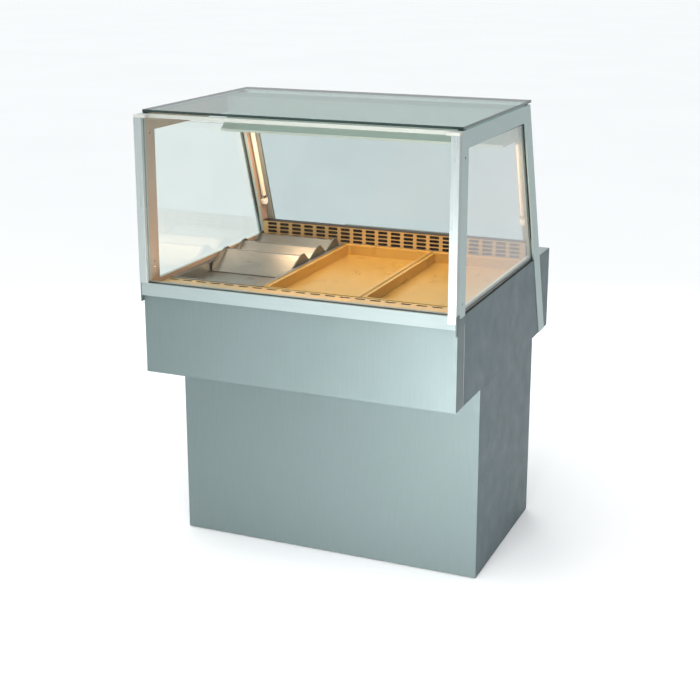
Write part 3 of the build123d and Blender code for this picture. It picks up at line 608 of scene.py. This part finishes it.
def rack_rims(m):
    """Round dark edging along the wavy top of each of the rack's side cheeks."""
    low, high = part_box("stepped_rack")
    radius = 2.4 * MM
    lines = []
    for x in (low.x, high.x):
        crest = {}
        for v in NODES["stepped_rack"].data.vertices:
            if abs(v.co.x - x) < 1e-4:
                key = round(v.co.y, 4)
                crest[key] = max(crest.get(key, 0.0), v.co.z)
        inner = x - math.copysign(radius, x - (low.x + high.x) / 2)
        floor_z = low.z + 10 * MM
        lines.append([(inner, y, z) for y, z in sorted(crest.items()) if z > floor_z])
    wire("rack_rim_wires", lines, radius, m["dark"], "rack", smooth=True)


def screws(m):
    """Domed screws on the front stiles' inner faces, and a dark ring round each panel screw."""
    shape = bmesh.new()
    low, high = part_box("side_frame_right")
    dome = scaled((3.6, 0), (3.4, 0.9), (2.4, 1.6), (1.5, 1.7), (1.4, 0.7))
    y = low.y + 26 * MM
    for side in (-1, 1):
        for z in (high.z - 60 * MM, high.z - 475 * MM, low.z + 350 * MM):
            add_turned(shape, dome, (side * low.x, y, z), (-side, 0, 0), 16)
    finish_mesh("stile_screws", shape, m["bright"], "case")
    seats = bmesh.new()
    for part in islands(NODES["panel_screws"].data):
        centre = sum(part, Vector()) / len(part)
        side = math.copysign(1, centre.x)
        face = max(side * v.x for v in part)
        washer = scaled((1.7, 0), (2.6, 0), (3.2, 0.08), (2.6, 0.16), (1.7, 0.16))
        add_turned(seats, washer, (side * face, centre.y, centre.z), (side, 0, 0), 18)
    finish_mesh("screw_rings", seats, m["heater"], "case")


def islands(mesh):
    """The separate solids of a mesh, each as a list of its points."""
    parent = list(range(len(mesh.vertices)))

    def root(index):
        while parent[index] != index:
            parent[index] = parent[parent[index]]
            index = parent[index]
        return index

    for edge in mesh.edges:
        parent[root(edge.vertices[0])] = root(edge.vertices[1])
    groups = {}
    for vertex in mesh.vertices:
        groups.setdefault(root(vertex.index), []).append(vertex.co.copy())
    return [groups[key] for key in sorted(groups)]


def seams(m):
    """The folded lip where the housing's front panel ends on each side, and a dark strip of painted shade on
    the rail's top.
    """
    low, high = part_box("housing_front_panel")
    shape = bmesh.new()
    for side in (-1, 1):
        x = sorted((side * high.x, side * (high.x + 0.5 * MM)))
        foot = (x[0], high.y - 3.2 * MM, low.z + 2 * MM)
        head = (x[1], high.y - 0.4 * MM, high.z - 26 * MM)
        add_box(shape, foot, head)
    finish_mesh("housing_seam_lips", shape, m["aluminium"], "case", 0.2 * MM)
    # A dark strip on the rail's top, in front of the glass, is painted shade.
    low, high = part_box("front_rail")
    glass_low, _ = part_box("front_glass")
    shape = bmesh.new()
    near = (low.x + 30 * MM, low.y + 3 * MM, high.z)
    far = (high.x - 30 * MM, glass_low.y - 2.2 * MM, high.z + 0.5 * MM)
    add_box(shape, near, far)
    finish_mesh("rail_top_painted_shade", shape, m["dark"], "case", 0.2 * MM)


def fan_guards(m):
    """Wire guards over the fans: rings joined by spokes."""
    thick, turns = 1.2 * MM, 40
    plate_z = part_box("fan_plate")[1].z
    for name in ("left", "middle", "right"):
        low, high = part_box(f"fan_{name}")
        centre = (low + high) / 2
        z = high.z + 7 * MM
        rings = []
        for radius in (18 * MM, 32 * MM, 46 * MM, 60 * MM, 74 * MM):
            angles = [2 * math.pi * step / turns for step in range(turns)]
            ring = [(centre.x + radius * math.cos(a), centre.y + radius * math.sin(a), z) for a in angles]
            rings.append(ring)
        wire(f"fan_guard_rings_{name}", rings, thick, m["bright"], "case", closed=True)
        spokes = []
        for step in range(6):
            angle = math.pi / 6 + step * math.pi / 3
            way = Vector((math.cos(angle), math.sin(angle), 0))
            flat = Vector((centre.x, centre.y, z + 1.6 * MM))
            foot = Vector((centre.x, centre.y, plate_z)) + way * 84 * MM
            spokes.append([flat + way * 12 * MM, flat + way * 76 * MM, foot])
        wire(f"fan_guard_spokes_{name}", spokes, thick, m["bright"], "case")


def controls(m):
    """Dial ticks round the knob, its pointer, and a frame round each rocker."""
    low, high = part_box("thermostat_knob")
    centre = (low + high) / 2
    box_low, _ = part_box("control_box")
    face = box_low.y + 1.5 * MM
    shape = bmesh.new()
    ticks, dial, half_tick = 11, 29 * MM, 0.6 * MM
    for step in range(ticks):
        angle = math.radians(-45 + 270 * step / (ticks - 1))
        turn = Matrix.Translation((centre.x, face, centre.z)) @ Matrix.Rotation(angle, 4, "Y")
        long = 7 * MM if step % 5 == 0 else 4.5 * MM
        tick = bmesh.new()
        add_box(tick, (-dial - long, 0, -half_tick), (-dial, 0.4 * MM, half_tick))
        tick.transform(turn)
        mesh = bpy.data.meshes.new("tick")
        tick.to_mesh(mesh)
        tick.free()
        shape.from_mesh(mesh)
        bpy.data.meshes.remove(mesh)
    finish_mesh("dial_ticks", shape, m["white"], "case", 0.1 * MM)
    pointer = bmesh.new()
    tip = centre.z + 14 * MM
    half = 0.95 * MM
    foot = (centre.x - half, high.y - 2 * MM, centre.z)
    add_box(pointer, foot, (centre.x + half, high.y - 0.2 * MM, tip))
    finish_mesh("knob_pointer", pointer, m["white"], "thermostat", 0.1 * MM)
    for name in ("heat_switch", "lamp_switch"):
        low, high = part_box(name)
        middle = (low + high) / 2
        ring = bmesh.new()
        half_x, half_z, wide, thick = 9.2 * MM, 14.2 * MM, 2.2 * MM, 1.2 * MM
        for side in (-1, 1):
            x = sorted((middle.x + side * half_x, middle.x + side * (half_x + wide)))
            reach = half_z + wide
            add_box(ring, (x[0], face, middle.z - reach), (x[1], face + thick, middle.z + reach))
            z = sorted((middle.z + side * half_z, middle.z + side * (half_z + wide)))
            add_box(ring, (middle.x - half_x, face, z[0]), (middle.x + half_x, face + thick, z[1]))
        finish_mesh(f"{name}_bezel", ring, m["black"], "case", 0.3 * MM)


def vent_mesh(m):
    """Fine insect mesh behind the vent slots of the rear panel."""
    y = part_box("housing_rear_panel")[0].y - 1.2 * MM
    x_low, x_high, columns = -445 * MM, -155 * MM, 48
    z_low, z_high, rows = 712 * MM, 838 * MM, 21
    lines = []
    for step in range(columns + 1):
        x = x_low + (x_high - x_low) * step / columns
        lines.append([(x, y, z_low), (x, y, z_high)])
    for step in range(rows + 1):
        z = z_low + (z_high - z_low) * step / rows
        lines.append([(x_low, y, z), (x_high, y, z)])
    wire("vent_mesh", lines, 0.45 * MM, m["bright"], "case")


def gland_and_doors(m):
    """A domed nut on the mains gland, and a turned face on each door knob."""
    low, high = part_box("mains_gland")
    centre = (low + high) / 2
    shape = bmesh.new()
    grip = scaled((9.8, -13), (10.6, -12), (10.6, -3), (8.0, -0.4), (4.6, -0.2))
    add_turned(shape, grip, (centre.x, high.y, centre.z), (0, 1, 0), 12)
    finish_mesh("gland_nut", shape, m["black"], "case")
    for name in ("left", "right"):
        low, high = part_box(f"door_knob_{name}")
        centre = (low + high) / 2
        shape = bmesh.new()
        profile = scaled((10.6, -0.5), (9.8, 0.1), (7.5, 0.6), (5.0, 0.1), (3.0, 0.5), (0.5, 0))
        add_turned(shape, profile, (centre.x, high.y, centre.z), (0, 1, 0), 32)
        finish_mesh(f"door_knob_face_{name}", shape, m["bright"], f"door_{name}")


def make_details(m):
    lamp_caps(m)
    stile_lamp_clips(m)
    glass_beads(m)
    tray_beads(m)
    rack_rims(m)
    screws(m)
    seams(m)
    fan_guards(m)
    controls(m)
    vent_mesh(m)
    gland_and_doors(m)


# ---------------------------------------------------------------- assembly
def build():
    materials = make_materials()
    dress_nodes(materials)
    make_details(materials)
    make_camera()
    make_stage()
    make_case_lights()


build()
